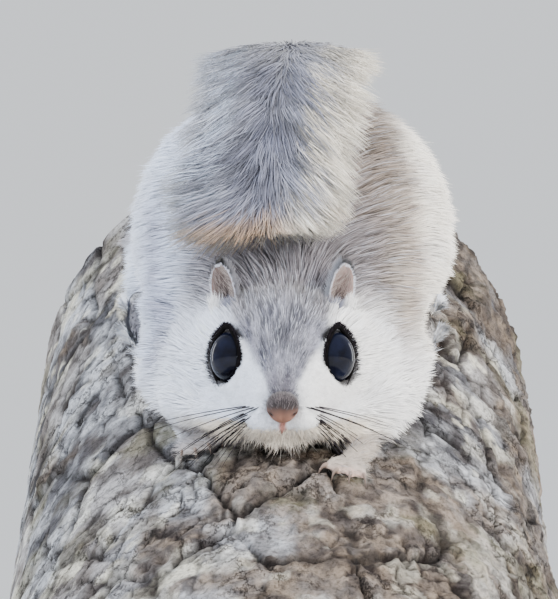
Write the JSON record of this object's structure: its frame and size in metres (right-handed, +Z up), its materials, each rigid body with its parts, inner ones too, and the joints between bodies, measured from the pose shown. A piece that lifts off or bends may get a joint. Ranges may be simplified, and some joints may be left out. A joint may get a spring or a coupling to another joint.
{
  "type": "flying squirrel model",
  "caption": "Life-size still model of a flying squirrel clinging head down to a cut length of trunk, tail folded over its back, on a flat display stand.",
  "frame": {"origin": "middle of the display base's underside", "axes": "+Z up, -Y towards the side the animal faces, +X to the animal's left"},
  "size_m": [0.15, 0.2289, 0.2499],
  "materials": {
    "ear": "matte",
    "eye": "gloss",
    "grey_fur": "fur",
    "pale_fur": "fur",
    "face_fur": "fur",
    "nose": "satin",
    "bark": "rough",
    "base": "satin",
    "rod": "satin"
  },
  "bodies": {
    "root": {"ear_left": "ear", "ear_right": "ear", "eye_left": "eye", "eye_right": "eye", "foreleg_left": "grey_fur", "foreleg_right": "grey_fur", "forepaw_left": "pale_fur", "forepaw_right": "pale_fur", "head": "face_fur", "hindleg_left": "grey_fur", "hindleg_right": "grey_fur", "hindpaw_left": "pale_fur", "hindpaw_right": "pale_fur", "neck": "grey_fur", "nose": "nose", "patagium_left": "pale_fur", "patagium_right": "pale_fur", "perch_trunk": "bark", "stand_base": "base", "stand_rod_front": "rod", "stand_rod_rear": "rod", "tail_base": "grey_fur", "tail_end": "grey_fur", "tail_middle": "grey_fur", "torso": "grey_fur"}
  },
  "joints": []
}
